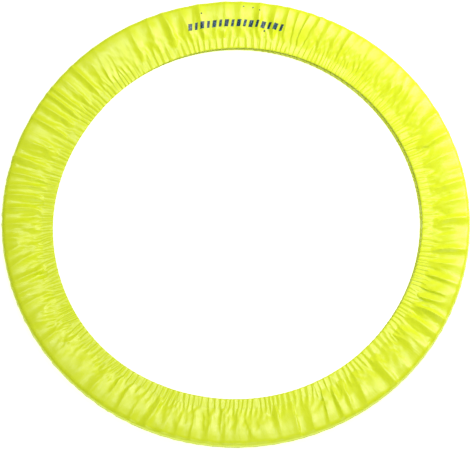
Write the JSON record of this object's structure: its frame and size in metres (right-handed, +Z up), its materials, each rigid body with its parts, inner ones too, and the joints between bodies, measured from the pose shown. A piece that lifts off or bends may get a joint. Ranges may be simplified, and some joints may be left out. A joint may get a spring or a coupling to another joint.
{
  "type": "rhythmic hoop",
  "caption": "Rhythmic gymnastics hoop in a gathered stretch cover with an elasticated inner mouth, lying flat.",
  "frame": {"origin": "centre of the ring, on the surface that the cover lies on", "axes": "+Z up, along the ring's axis and out of the front panel; +Y towards the printed band"},
  "size_m": [0.893, 0.893, 0.025],
  "materials": {
    "cover_cloth": "fluorescent yellow satin nylon, gathered",
    "elastic": "white woven elastic",
    "thread": "yellow polyester thread",
    "binding": "yellow woven binding tape",
    "transfer_film": "dark teal transfer film with light blue glints",
    "hoop_plastic": "smooth white tube",
    "dowel_plastic": "matt grey moulding",
    "joint_tape": "yellow adhesive film",
    "pin_steel": "plain steel"
  },
  "bodies": {
    "cover": {"front_panel": "cover_cloth", "back_panel": "cover_cloth", "front_elastic": "elastic", "back_elastic": "elastic", "front_hem_thread": "thread", "back_hem_thread": "thread", "seam_thread": "thread", "seam_binding": "binding", "printed_band": "transfer_film"},
    "hoop": {"hoop_tube": "hoop_plastic", "joint_dowel": "dowel_plastic", "joint_tape": "joint_tape", "joint_pin_left": "pin_steel", "joint_pin_right": "pin_steel"}
  },
  "joints": [
    {"name": "hoop_turn", "type": "hinge", "parent": "cover", "child": "hoop", "pos_m": [0, 0, 0.0125], "axis": [0, 0, 1], "continuous": true}
  ]
}
